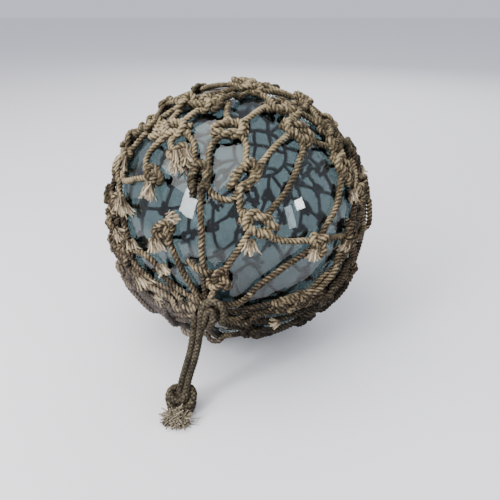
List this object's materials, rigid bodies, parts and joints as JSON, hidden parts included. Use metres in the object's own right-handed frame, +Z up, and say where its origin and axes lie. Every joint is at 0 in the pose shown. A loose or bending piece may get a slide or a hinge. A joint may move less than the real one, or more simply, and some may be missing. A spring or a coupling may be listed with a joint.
{
  "type": "glass fishing float",
  "caption": "Hollow blown glass ball in a knotted rope net, with the net's ropes gathered at one side into a doubled tail that ends in an overhand knot.",
  "frame": {"origin": "on the surface that the float stands on, at the middle of the flat that its weight presses on the lowest knot, straight below the middle of the glass", "axes": "+Z up, -Y towards the side with the gather and its tail, +X to the right seen from that side"},
  "size_m": [0.3156, 0.372, 0.3216],
  "materials": {
    "glass": "clear blue-green blown glass, smooth and slightly wavy",
    "net_rope": "old three-strand rope, weathered brown, dark in its grooves, frayed cream at the cut ends",
    "tail_rope": "old three-strand rope, dark olive brown"
  },
  "bodies": {
    "root": {"glass_ball": "glass", "rope_net": "net_rope", "tail_strand_left": "tail_rope", "tail_strand_right": "tail_rope", "tail_knot": "tail_rope"}
  },
  "joints": []
}
